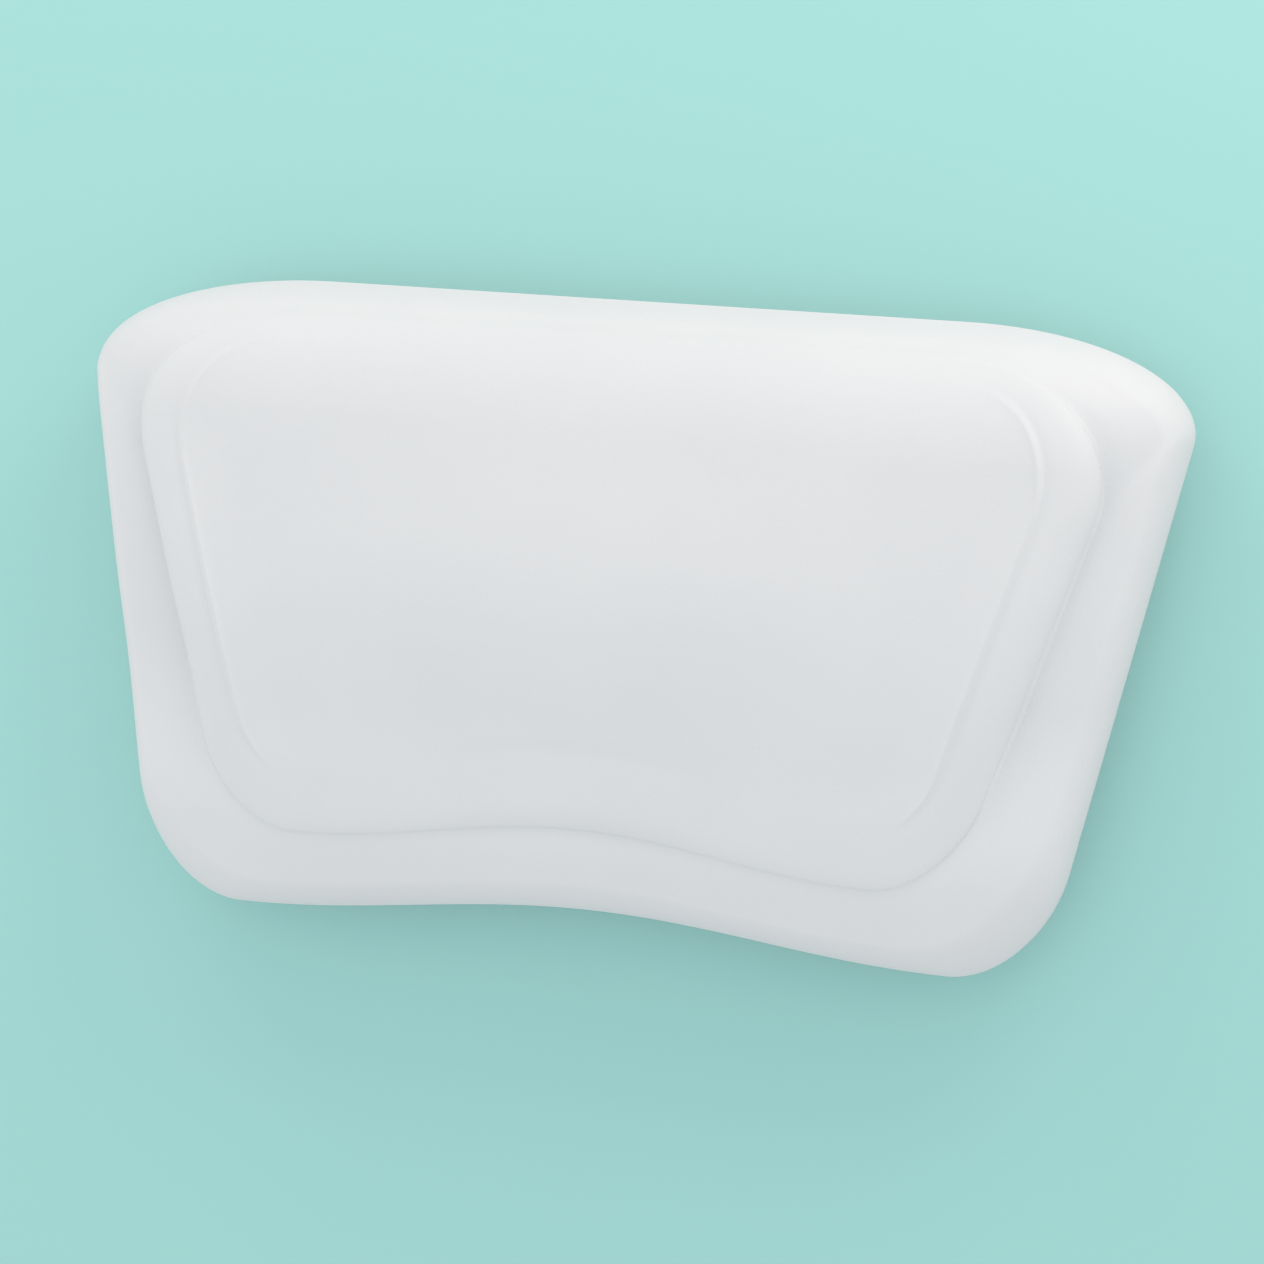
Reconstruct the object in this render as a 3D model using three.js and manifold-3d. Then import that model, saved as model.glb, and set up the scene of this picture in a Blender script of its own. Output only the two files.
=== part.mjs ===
// A moulded foam bath pillow, lying head side up on its four suction cups.
// Lengths are in millimetres. X runs across the pillow, +Y points to its top edge and
// +Z out of the head side. The cup rims stand on z = 0, under the middle of the outline.

import * as THREE from 'three';
import { mergeVertices } from 'three/addons/utils/BufferGeometryUtils.js';
import Module from 'manifold-3d';

// Outline where the pillow is widest. The widths are taken where the straight edges would
// meet. A corner's run is what it takes off the top or bottom edge, and its drop or rise is
// what it takes off the slanting side.
const TOP_WIDTH = 310;
const BOTTOM_WIDTH = 242;
const PILLOW_HEIGHT = 172;
const TOP_CORNER_RUN = 67;
const TOP_CORNER_DROP = 29;
const BOTTOM_CORNER_RUN = 23;
const BOTTOM_CORNER_RISE = 30;
const BOTTOM_ARCH = 7.5;

// Back edge and side wall. Heights here and below are above the flat back.
const HEEL_RADIUS = 6;
const HEM_WIDTH = 10;
const WALL_SIDE_RISE = 9;
const WALL_TOP_RISE = 4;
const WALL_BOTTOM_RISE = 5;

// The head side seen from the side: a lower half that leans back, a soft bend up to a flat band,
// and a roll over to the top edge.
const CREST_HEIGHT = 46;
const LOWER_SLOPE = 0.17;
const BEND_FROM_TOP = 70;
const BEND_LENGTH = 21.5;
const ROLL_LENGTH = 40;
const ROLL_DROP = 35;

// The step round the panel gets deeper from near the bottom edge upwards, and fades out over a stretch
// below the top of the rim and of the panel's foot.
const STEP_FROM_BOTTOM = 22;
const STEP_GROWTH = 50;
const RIM_FADE = 24;
const FOOT_FADE = 40;

// Crest of the outer rim: its distance in from the outline, its corners, and how far it lies
// below the profile at the sides and along the bottom and top edges.
const RIM_SIDE_INSET = 7.5;
const RIM_TOP_INSET = 8.5;
const RIM_BOTTOM_INSET = 9;
const RIM_TOP_CORNER_RUN = 60;
const RIM_TOP_CORNER_DROP = 25;
const RIM_BOTTOM_CORNER_RUN = 28;
const RIM_BOTTOM_CORNER_RISE = 36;
const RIM_SIDE_DROP = 11.6;
const RIM_BOTTOM_DROP = 3;
const RIM_TOP_DROP = 2.6;

// Foot of the raised head panel: the band of rim that it leaves free, its corners and drops.
const FOOT_TOP_BAND = 12;
const FOOT_BOTTOM_BAND = 22.3;
const FOOT_UPPER_SIDE_BAND = 15;
const FOOT_LOWER_SIDE_BAND = 23;
const FOOT_TOP_CORNER_RUN = 56;
const FOOT_TOP_CORNER_DROP = 42;
const FOOT_BOTTOM_CORNER_RUN = 20;
const FOOT_BOTTOM_CORNER_RISE = 26;
const FOOT_ARCH = 8;
const FOOT_SIDE_DROP = 12;
const FOOT_BOTTOM_DROP = 1.4;

// Pressed line along the panel's shoulder: the shoulder's width and the line's corners. The
// line lies on the profile.
const SHOULDER_TOP_WIDTH = 5;
const SHOULDER_BOTTOM_WIDTH = 9.2;
const SHOULDER_UPPER_SIDE_WIDTH = 15;
const SHOULDER_LOWER_SIDE_WIDTH = 9;
const LINE_TOP_CORNER_RUN = 36;
const LINE_TOP_CORNER_DROP = 40;
const LINE_BOTTOM_CORNER_RUN = 21;
const LINE_BOTTOM_CORNER_RISE = 22;
const LINE_ARCH = 7;
const GROOVE_DEPTH = 0.3;
const LIP_INSET = 1.6;
const LIP_RISE = 0.5;
const DISH_INSET = 12;
const DISH_DEPTH = 0.9;
const FIELD_BULGE = 3;
// How fully the shoulder bellies out between its foot and the pressed line.
const SHOULDER_POWER = 3;
// How late the groove, lip and dish fade out up and down the panel, and towards its middle.
const RELIEF_POWER = 5;
const RELIEF_SIDE_POWER = 4;

// Skins, the board inside the back, and the holes that the foam grips it by.
const SKIN = 1.6;
const BOARD_THICKNESS = 3;
const BOARD_EDGE = 22;
const BOARD_CORNER = 18;
const LOCK_HOLE_RADIUS = 8;
const LOCK_PITCH = 42;

// Suction cups, and where their studs hold on the outline.
const CUP_FROM_TOP = 44;
const CUP_FROM_BOTTOM = 52;
const CUP_FROM_SIDE = 60;
const CUP_RADIUS = 23;
const CUP_HEIGHT = 10.7;
const CUP_HOLLOW = 4;
const SEAL_WIDTH = 1.7;
const CUP_EDGE_THICKNESS = 0.9;
const CUP_BELL_THICKNESS = 2.2;
const CUP_WEB = 1.8;
const BOSS_RADIUS = 9.5;
const BOSS_CHAMFER = 0.8;
const TAB_REACH = 7;
const TAB_WIDTH = 11;
const TAB_LIFT = 0.3;
const TAB_THICKNESS = 1.1;

// Studs, and the domes that keep the foam out of their keyholes.
const STUD_TRAVEL = 12;
const NECK_RADIUS = 4;
const STUD_HEAD_RADIUS = 7;
const STUD_HEAD_THICKNESS = 2.5;
const STUD_FOOT_RADIUS = 6.2;
const STUD_FOOT_THICKNESS = 2.2;
const STUD_CHAMFER = 0.5;
const DOME_WALL = 1.2;
const DOME_EDGE = 1;
const DOME_FLANGE_WIDTH = 3;
const DOME_FLANGE_THICKNESS = 1.2;
const WINDOW_MARGIN = 1;

// Clearance between pieces that touch, slide or turn on each other.
const GAP = 0.3;

// Facets of the pillow's contours, along half the bottom, a corner, a side, a corner and half the top.
const CONTOUR_FACETS = [5, 5, 3, 6, 4];
const ARC_FACETS = 7;
const STUD_FACETS = 24;
const CUP_FACETS = 32;
const BELL_FACETS = 5;
// Handle lengths that make a cubic curve follow an ellipse's quarter and a cosine wave's half.
const QUARTER_HANDLE = 0.5523;
const WAVE_HANDLE = 0.3642;
const SMALLEST_CORNER = 4;

// Levels above the floor that the cup rims stand on.
const BACK = CUP_HEIGHT + GAP;
const BOARD_BOTTOM = BACK + SKIN + GAP;
const BOARD_TOP = BOARD_BOTTOM + BOARD_THICKNESS;
const DOME_BOTTOM = BOARD_TOP + GAP;
const STUD_HEAD_BOTTOM = BOARD_TOP + GAP;
const STUD_TOP = STUD_HEAD_BOTTOM + STUD_HEAD_THICKNESS;
const DOME_INSIDE_TOP = STUD_TOP + GAP;
const DOME_TOP = DOME_INSIDE_TOP + DOME_WALL;
const SOCKET_FLOOR = CUP_HOLLOW + CUP_WEB;
const STUD_BOTTOM = SOCKET_FLOOR + GAP;
const STUD_FOOT_TOP = STUD_BOTTOM + STUD_FOOT_THICKNESS;

const wasm = await Module();
wasm.setup();

const skinMaterial = new THREE.MeshStandardMaterial({ color: 0xeceef0, roughness: 0.55, metalness: 0 });
const foamMaterial = new THREE.MeshStandardMaterial({ color: 0xf2efe4, roughness: 0.95, metalness: 0 });
const boardMaterial = new THREE.MeshStandardMaterial({ color: 0xd9dbdc, roughness: 0.5, metalness: 0 });
const domeMaterial = new THREE.MeshStandardMaterial({ color: 0xd9dbdc, roughness: 0.5, metalness: 0 });
const studMaterial = new THREE.MeshStandardMaterial({ color: 0xf4f4f2, roughness: 0.35, metalness: 0 });
const cupMaterial = new THREE.MeshStandardMaterial({ color: 0xdfe6e8, roughness: 0.25, metalness: 0 });

// Contours of the pillow, from the outline inwards

const OUTLINE = {
  halfTop: TOP_WIDTH / 2,
  halfBottom: BOTTOM_WIDTH / 2,
  top: PILLOW_HEIGHT / 2,
  bottom: -PILLOW_HEIGHT / 2,
  topRun: TOP_CORNER_RUN,
  topDrop: TOP_CORNER_DROP,
  bottomRun: BOTTOM_CORNER_RUN,
  bottomRise: BOTTOM_CORNER_RISE,
  arch: BOTTOM_ARCH,
  fade: RIM_FADE,
  profileShare: 0,
  sideHeight: HEEL_RADIUS,
  topHeight: HEEL_RADIUS,
  bottomHeight: HEEL_RADIUS,
  sideDropHeight: 0,
  bottomDropHeight: 0,
  topDropHeight: 0,
};

const WALL = {
  ...OUTLINE,
  sideHeight: HEEL_RADIUS + WALL_SIDE_RISE,
  topHeight: HEEL_RADIUS + WALL_TOP_RISE,
  bottomHeight: HEEL_RADIUS + WALL_BOTTOM_RISE,
};

const RIM = {
  halfTop: OUTLINE.halfTop - RIM_SIDE_INSET,
  halfBottom: OUTLINE.halfBottom - RIM_SIDE_INSET,
  top: OUTLINE.top - RIM_TOP_INSET,
  bottom: OUTLINE.bottom + RIM_BOTTOM_INSET,
  topRun: RIM_TOP_CORNER_RUN,
  topDrop: RIM_TOP_CORNER_DROP,
  bottomRun: RIM_BOTTOM_CORNER_RUN,
  bottomRise: RIM_BOTTOM_CORNER_RISE,
  arch: BOTTOM_ARCH,
  fade: RIM_FADE,
  profileShare: 1,
  sideHeight: 0,
  topHeight: 0,
  bottomHeight: 0,
  sideDropHeight: RIM_SIDE_DROP,
  bottomDropHeight: RIM_BOTTOM_DROP,
  topDropHeight: RIM_TOP_DROP,
};

const FOOT = {
  halfTop: OUTLINE.halfTop - FOOT_UPPER_SIDE_BAND,
  halfBottom: OUTLINE.halfBottom - FOOT_LOWER_SIDE_BAND,
  top: OUTLINE.top - FOOT_TOP_BAND,
  bottom: OUTLINE.bottom + FOOT_BOTTOM_BAND,
  topRun: FOOT_TOP_CORNER_RUN,
  topDrop: FOOT_TOP_CORNER_DROP,
  bottomRun: FOOT_BOTTOM_CORNER_RUN,
  bottomRise: FOOT_BOTTOM_CORNER_RISE,
  arch: FOOT_ARCH,
  fade: FOOT_FADE,
  profileShare: 1,
  sideHeight: 0,
  topHeight: 0,
  bottomHeight: 0,
  sideDropHeight: FOOT_SIDE_DROP,
  bottomDropHeight: FOOT_BOTTOM_DROP,
  topDropHeight: 0,
};

const LINE = {
  halfTop: FOOT.halfTop - SHOULDER_UPPER_SIDE_WIDTH,
  halfBottom: FOOT.halfBottom - SHOULDER_LOWER_SIDE_WIDTH,
  top: FOOT.top - SHOULDER_TOP_WIDTH,
  bottom: FOOT.bottom + SHOULDER_BOTTOM_WIDTH,
  topRun: LINE_TOP_CORNER_RUN,
  topDrop: LINE_TOP_CORNER_DROP,
  bottomRun: LINE_BOTTOM_CORNER_RUN,
  bottomRise: LINE_BOTTOM_CORNER_RISE,
  arch: LINE_ARCH,
  fade: FOOT_FADE,
  profileShare: 1,
  sideHeight: 0,
  topHeight: 0,
  bottomHeight: 0,
  sideDropHeight: 0,
  bottomDropHeight: 0,
  topDropHeight: 0,
};

// A contour's height is its share of the profile, plus heights of its own at its sides, top and
// bottom, less the drop of the step.

// A contour part of the way from one to another in plan, with its own share of the rise.
function between(from, to, planShare, heightShare = planShare) {
  const mixed = {};
  for (const key of Object.keys(from)) {
    const rises = key === 'profileShare' || key.endsWith('Height');
    mixed[key] = THREE.MathUtils.lerp(from[key], to[key], rises ? heightShare : planShare);
  }
  return mixed;
}

// A contour with every straight edge moved in by a distance.
function inset(contour, distance) {
  const slant = Math.atan2(contour.halfTop - contour.halfBottom, contour.top - contour.bottom);
  const across = distance / Math.cos(slant);
  const along = distance * Math.tan(slant);
  return {
    ...contour,
    halfTop: contour.halfTop - across - along,
    halfBottom: contour.halfBottom - across + along,
    top: contour.top - distance,
    bottom: contour.bottom + distance,
    topRun: Math.max(contour.topRun - distance, SMALLEST_CORNER),
    topDrop: Math.max(contour.topDrop - distance, SMALLEST_CORNER),
    bottomRun: Math.max(contour.bottomRun - distance, SMALLEST_CORNER),
    bottomRise: Math.max(contour.bottomRise - distance, SMALLEST_CORNER),
  };
}

// A contour laid flat at one height.
function level(contour, height) {
  return {
    ...contour,
    profileShare: 0,
    sideHeight: height,
    topHeight: height,
    bottomHeight: height,
    sideDropHeight: 0,
    bottomDropHeight: 0,
    topDropHeight: 0,
  };
}

// Convex quarter turn from one contour up to another.
function roundOver(from, to, degrees) {
  const angle = THREE.MathUtils.degToRad(degrees);
  return between(from, to, 1 - Math.cos(angle), Math.sin(angle));
}

// The panel's shoulder rises steeply from its foot and bends over to the pressed line.
function shoulder(share) {
  return between(FOOT, LINE, share, Math.sqrt(1 - (1 - share) ** SHOULDER_POWER));
}

function ellipticCorner(start, corner, end) {
  const leave = start.clone().lerp(corner, QUARTER_HANDLE);
  const arrive = end.clone().lerp(corner, QUARTER_HANDLE);
  return new THREE.CubicBezierCurve(start, leave, arrive, end);
}

// The five curves of a contour's right half, from the bottom's middle up to the top's middle.
function rightHalf(contour) {
  const topCorner = new THREE.Vector2(contour.halfTop, contour.top);
  const bottomCorner = new THREE.Vector2(contour.halfBottom, contour.bottom);
  const up = topCorner.clone().sub(bottomCorner).normalize();
  const archTop = new THREE.Vector2(0, contour.bottom + contour.arch);
  const archEnd = new THREE.Vector2(contour.halfBottom - contour.bottomRun, contour.bottom);
  const sideBottom = bottomCorner.clone().addScaledVector(up, contour.bottomRise);
  const sideTop = topCorner.clone().addScaledVector(up, -contour.topDrop);
  const topEnd = new THREE.Vector2(contour.halfTop - contour.topRun, contour.top);
  const topMiddle = new THREE.Vector2(0, contour.top);
  const wave = new THREE.Vector2(archEnd.x * WAVE_HANDLE, 0);
  return [
    new THREE.CubicBezierCurve(archTop, archTop.clone().add(wave), archEnd.clone().sub(wave), archEnd),
    ellipticCorner(archEnd, bottomCorner, sideBottom),
    new THREE.LineCurve(sideBottom, sideTop),
    ellipticCorner(sideTop, topCorner, topEnd),
    new THREE.LineCurve(topEnd, topMiddle),
  ];
}

// Height of the head side's profile at a level up the pillow.
function profileAt(y) {
  const below = OUTLINE.top - BEND_FROM_TOP - y;
  const bent = THREE.MathUtils.clamp(below, 0, BEND_LENGTH);
  const straight = Math.max(below - BEND_LENGTH, 0);
  const fall = LOWER_SLOPE * (bent ** 2 / (2 * BEND_LENGTH) + straight);
  const rolled = THREE.MathUtils.clamp(1 - (OUTLINE.top - y) / ROLL_LENGTH, 0, 1);
  return CREST_HEIGHT - fall - ROLL_DROP * (1 - Math.sqrt(1 - rolled ** 2));
}

// Depth of the step below the profile for a contour, at a level up the pillow.
function dropAt(contour, y) {
  const fromBottom = y - OUTLINE.bottom - STEP_FROM_BOTTOM;
  const grown = THREE.MathUtils.smoothstep(fromBottom, 0, STEP_GROWTH);
  const left = THREE.MathUtils.smoothstep(contour.top - y, 0, contour.fade);
  const drop = THREE.MathUtils.lerp(contour.bottomDropHeight, contour.sideDropHeight, grown);
  return THREE.MathUtils.lerp(contour.topDropHeight, drop, left);
}

// Height of a contour at a level up the pillow. Its own heights at its bottom edge, halfway up its
// sides and at its top edge are joined by a parabola.
function heightAt(contour, y) {
  const t = (y - contour.bottom) / (contour.top - contour.bottom);
  const fromBottom = contour.bottomHeight * (1 - t) * (1 - 2 * t);
  const fromSide = contour.sideHeight * 4 * t * (1 - t);
  const fromTop = contour.topHeight * t * (2 * t - 1);
  return contour.profileShare * profileAt(y) + fromBottom + fromSide + fromTop - dropAt(contour, y);
}

// How far out a point lies between the middle and the slanting side of a contour, from 0 to 1.
function outwardness(contour, point) {
  const along = (point.y - contour.bottom) / (contour.top - contour.bottom);
  const half = THREE.MathUtils.lerp(contour.halfBottom, contour.halfTop, along);
  return Math.min(Math.abs(point.x) / half, 1);
}

// How much of the groove, lip and dish is left at a point of a contour.
function reliefAt(contour, point) {
  const start = LINE.bottom + LINE.arch;
  const t = THREE.MathUtils.clamp((point.y - start) / (LINE.top - start), 0, 1);
  const left = 1 - Math.abs(2 * t - 1) ** RELIEF_POWER;
  return left * outwardness(contour, point) ** RELIEF_SIDE_POWER;
}

// Points of a contour, anticlockwise from the bottom's middle.
function ringOf(contour) {
  const right = [];
  rightHalf(contour).forEach((curve, i) => {
    for (let step = 0; step < CONTOUR_FACETS[i]; step += 1) {
      const { x, y } = curve.getPoint(step / CONTOUR_FACETS[i]);
      right.push(new THREE.Vector3(x, y, heightAt(contour, y)));
    }
  });
  const top = new THREE.Vector3(0, contour.top, heightAt(contour, contour.top));
  const left = right.slice(1).reverse();
  return [...right, top, ...left.map((point) => new THREE.Vector3(-point.x, point.y, point.z))];
}

// A ring inside the pressed line, lifted by a relief that fades out in the corners.
function fieldRing(distance, rise) {
  const contour = inset(LINE, distance);
  const ring = ringOf(contour);
  for (const point of ring) {
    point.z += rise * reliefAt(contour, point);
  }
  return ring;
}

// A point of the field inside the dish, set to the height of the soft crown.
function onField(point) {
  const contour = inset(LINE, DISH_INSET);
  const up = (2 * point.y - contour.top - contour.bottom) / (contour.top - contour.bottom);
  const out = outwardness(contour, point);
  const swell = FIELD_BULGE * (1 - out ** 2) ** 2 * (1 - Math.min(up ** 2, 1)) ** 2;
  point.z = profileAt(point.y) + swell - DISH_DEPTH * reliefAt(contour, point);
  return point;
}

// Geometry from rings of equal count and single points, in order, with faces to the right
// hand of a ring's direction and the way to the next ring.
function loft(rings, closed) {
  const count = Math.max(...rings.map((ring) => (Array.isArray(ring) ? ring.length : 1)));
  const positions = [];
  const starts = [];
  for (const ring of rings) {
    starts.push(positions.length / 3);
    for (const point of [ring].flat()) {
      positions.push(point.x, point.y, point.z);
    }
  }
  const indexOf = (k, i) => starts[k] + (Array.isArray(rings[k]) ? i % count : 0);
  const triangles = [];
  const bands = closed ? rings.length : rings.length - 1;
  for (let k = 0; k < bands; k += 1) {
    const next = (k + 1) % rings.length;
    for (let i = 0; i < count; i += 1) {
      const corners = [indexOf(k, i), indexOf(k, i + 1), indexOf(next, i + 1), indexOf(next, i)];
      for (const triangle of [[0, 1, 2], [0, 2, 3]]) {
        const face = triangle.map((corner) => corners[corner]);
        if (new Set(face).size === 3) {
          triangles.push(...face);
        }
      }
    }
  }
  const geometry = new THREE.BufferGeometry();
  geometry.setAttribute('position', new THREE.Float32BufferAttribute(positions, 3));
  geometry.setIndex(triangles);
  return geometry;
}

// The same faces, pointing the other way.
function insideOut(geometry) {
  const turned = geometry.clone();
  turned.setIndex([...geometry.index.array].reverse());
  return turned;
}

// Solid modelling helpers

function solidOf(geometry) {
  const bare = geometry.clone();
  bare.deleteAttribute('normal');
  bare.deleteAttribute('uv');
  const merged = mergeVertices(bare, 1e-4);
  const index = merged.index.array;
  const kept = [];
  for (let i = 0; i < index.length; i += 3) {
    const face = [index[i], index[i + 1], index[i + 2]];
    if (new Set(face).size === 3) {
      kept.push(...face);
    }
  }
  const vertProperties = new Float32Array(merged.attributes.position.array);
  const triVerts = new Uint32Array(kept);
  return new wasm.Manifold(new wasm.Mesh({ numProp: 3, vertProperties, triVerts }));
}

function geometryOf(solid) {
  const mesh = solid.getMesh();
  const geometry = new THREE.BufferGeometry();
  geometry.setAttribute('position', new THREE.Float32BufferAttribute(mesh.vertProperties, 3));
  geometry.setIndex([...mesh.triVerts]);
  return geometry;
}

function slab(shape, bottom, top) {
  const options = { depth: top - bottom, bevelEnabled: false, curveSegments: ARC_FACETS };
  return new THREE.ExtrudeGeometry(shape, options).translate(0, 0, bottom);
}

// A profile of radius and height, turned about the Z axis.
function turned(profile, facets) {
  const points = profile.map(([radius, height]) => new THREE.Vector2(radius, height));
  const lathe = new THREE.LatheGeometry(points, facets).rotateX(Math.PI / 2);
  return geometryOf(solidOf(lathe));
}

// An oblong that follows the stud from its rest at the seat down to the end of its travel.
function oblong(Kind, seat, radius) {
  const path = new Kind();
  path.absarc(seat.x, seat.y, radius, 0, Math.PI, false);
  path.absarc(seat.x, seat.y - STUD_TRAVEL, radius, Math.PI, 2 * Math.PI, false);
  path.closePath();
  return path;
}

// A slot for the stud's neck that opens at its lower end into a hole for the head.
function keyhole(seat) {
  const slot = NECK_RADIUS + GAP;
  const entry = STUD_HEAD_RADIUS + GAP;
  const mouth = Math.asin(slot / entry);
  const path = new THREE.Path();
  path.absarc(seat.x, seat.y, slot, 0, Math.PI, false);
  path.absarc(seat.x, seat.y - STUD_TRAVEL, entry, Math.PI / 2 + mouth, 2.5 * Math.PI - mouth, false);
  path.closePath();
  return path;
}

function roundHole(center, radius) {
  const path = new THREE.Path();
  path.absarc(center.x, center.y, radius, 0, 2 * Math.PI, false);
  return path;
}

// Where the studs sit: two near the top and two near the bottom, set in from the slanting sides.
function studSeats() {
  const slope = (OUTLINE.halfTop - OUTLINE.halfBottom) / PILLOW_HEIGHT;
  const rows = [
    { row: 'upper', y: OUTLINE.top - CUP_FROM_TOP },
    { row: 'lower', y: OUTLINE.bottom + CUP_FROM_BOTTOM },
  ];
  const seats = [];
  for (const { row, y } of rows) {
    const x = OUTLINE.halfTop - (OUTLINE.top - y) * slope - CUP_FROM_SIDE;
    seats.push({ name: `${row}_left`, x: -x, y, outward: Math.PI });
    seats.push({ name: `${row}_right`, x, y, outward: 0 });
  }
  return seats;
}

// Holes in rows level with the studs and midway between them, in columns about the middle.
function lockHoleCenters(seats) {
  const high = seats[0].y;
  const low = seats[seats.length - 1].y;
  const centers = [];
  for (const y of [high, (high + low) / 2, low]) {
    for (const column of [-1, 0, 1]) {
      centers.push({ x: column * LOCK_PITCH, y });
    }
  }
  return centers;
}

// Pieces

// Outer rings of the front skin, from the end of the hem on the back up to the crown.
function skinRings() {
  const heelTurn = HEEL_RADIUS * (1 - Math.SQRT1_2);
  const dish = fieldRing(DISH_INSET, -DISH_DEPTH);
  const middle = (LINE.top + LINE.bottom) / 2;
  const crown = new THREE.Vector3(0, middle, profileAt(middle) + FIELD_BULGE);
  const domed = (share) => dish.map((point) => onField(crown.clone().lerp(point, share)));
  return {
    hem: ringOf(level(inset(OUTLINE, HEEL_RADIUS + HEM_WIDTH), 0)),
    backEdge: ringOf(level(inset(OUTLINE, HEEL_RADIUS), 0)),
    heel: ringOf(level(inset(OUTLINE, heelTurn), heelTurn)),
    widest: ringOf(OUTLINE),
    wall: ringOf(WALL),
    lowerRound: ringOf(roundOver(WALL, RIM, 35)),
    upperRound: ringOf(roundOver(WALL, RIM, 65)),
    rim: ringOf(RIM),
    foot: ringOf(FOOT),
    lowerShoulder: ringOf(shoulder(0.06)),
    upperShoulder: ringOf(shoulder(0.3)),
    groove: fieldRing(0, -GROOVE_DEPTH),
    lip: fieldRing(LIP_INSET, LIP_RISE),
    dish,
    outerField: domed(0.66),
    innerField: domed(0.33),
    crown,
  };
}

// The same rings moved into the pillow by a depth, square to the skin.
function sunk(rings, depth) {
  const list = Object.values(rings);
  const outside = loft(list, false);
  outside.computeVertexNormals();
  const normals = outside.attributes.normal;
  let vertex = 0;
  const moved = {};
  for (const [name, ring] of Object.entries(rings)) {
    const points = [ring].flat().map((point) => {
      const normal = new THREE.Vector3().fromBufferAttribute(normals, vertex);
      vertex += 1;
      return point.clone().addScaledVector(normal, -depth);
    });
    moved[name] = Array.isArray(ring) ? points : points[0];
  }
  return moved;
}

// The rings that the plainer inner surface is drawn through, from the crown outwards.
function innerRings(rings) {
  const { crown, innerField, dish, groove, upperShoulder, foot, rim, lowerRound, widest } = rings;
  return [crown, innerField, dish, groove, upperShoulder, foot, rim, lowerRound, widest];
}

function frontSkin() {
  const outside = skinRings();
  const inside = sunk(outside, SKIN);
  const profile = [...Object.values(outside), ...innerRings(inside), inside.backEdge, inside.hem];
  return loft(profile, true).translate(0, 0, BACK);
}

function contourShape(contour) {
  return new THREE.Shape(ringOf(contour).map((point) => new THREE.Vector2(point.x, point.y)));
}

function boardContour(clearance) {
  const edge = inset(OUTLINE, BOARD_EDGE - clearance);
  return {
    ...edge,
    topRun: BOARD_CORNER,
    topDrop: BOARD_CORNER,
    bottomRun: BOARD_CORNER,
    bottomRise: BOARD_CORNER,
  };
}

// The foam fills the skin, and keeps room for the board and the domes on it.
function foamCore(seats) {
  const skin = sunk(skinRings(), SKIN + GAP);
  const floor = SKIN + GAP;
  const base = skin.backEdge.map((point) => point.clone().setZ(floor));
  const middle = new THREE.Vector3(0, 0, floor);
  const lining = loft([...innerRings(skin), base, middle], false).translate(0, 0, BACK);
  const body = insideOut(lining);
  const pocket = contourShape(boardContour(GAP));
  for (const center of lockHoleCenters(seats)) {
    pocket.holes.push(roundHole(center, LOCK_HOLE_RADIUS - GAP));
  }
  let foam = solidOf(body).subtract(solidOf(slab(pocket, BACK, BOARD_TOP + GAP)));
  const { dome, flange } = domeRadii();
  for (const seat of seats) {
    const flangeRoom = slab(oblong(THREE.Shape, seat, flange + GAP), BACK, flangeTop() + GAP);
    const domeRoom = slab(oblong(THREE.Shape, seat, dome + GAP), BACK, DOME_TOP + GAP);
    foam = foam.subtract(solidOf(flangeRoom)).subtract(solidOf(domeRoom));
  }
  return geometryOf(foam);
}

function backSkin(seats) {
  const panel = contourShape(inset(OUTLINE, HEEL_RADIUS + HEM_WIDTH + GAP));
  for (const seat of seats) {
    panel.holes.push(oblong(THREE.Path, seat, STUD_HEAD_RADIUS + GAP + WINDOW_MARGIN));
  }
  return slab(panel, BACK, BACK + SKIN);
}

function insertBoard(seats) {
  const board = contourShape(boardContour(0));
  for (const seat of seats) {
    board.holes.push(keyhole(seat));
  }
  for (const center of lockHoleCenters(seats)) {
    board.holes.push(roundHole(center, LOCK_HOLE_RADIUS));
  }
  return slab(board, BOARD_BOTTOM, BOARD_TOP);
}

function domeRadii() {
  const room = STUD_HEAD_RADIUS + GAP;
  const dome = room + DOME_WALL;
  return { room, dome, flange: dome + DOME_FLANGE_WIDTH };
}

function flangeTop() {
  return DOME_BOTTOM + DOME_FLANGE_THICKNESS;
}

// An oblong dome with a rounded top edge, on a flange that lies on the board.
function keyholeDome(seat) {
  const { room, dome, flange } = domeRadii();
  const plate = slab(oblong(THREE.Shape, seat, flange), DOME_BOTTOM, flangeTop());
  const rounded = new THREE.ExtrudeGeometry(oblong(THREE.Shape, seat, dome - DOME_EDGE), {
    depth: DOME_TOP - DOME_BOTTOM - 2 * DOME_EDGE,
    bevelThickness: DOME_EDGE,
    bevelSize: DOME_EDGE,
    bevelSegments: 2,
    curveSegments: ARC_FACETS,
  }).translate(0, 0, DOME_BOTTOM + DOME_EDGE);
  const hollow = slab(oblong(THREE.Shape, seat, room), BACK, DOME_INSIDE_TOP);
  return geometryOf(solidOf(plate).add(solidOf(rounded)).subtract(solidOf(hollow)));
}

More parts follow.
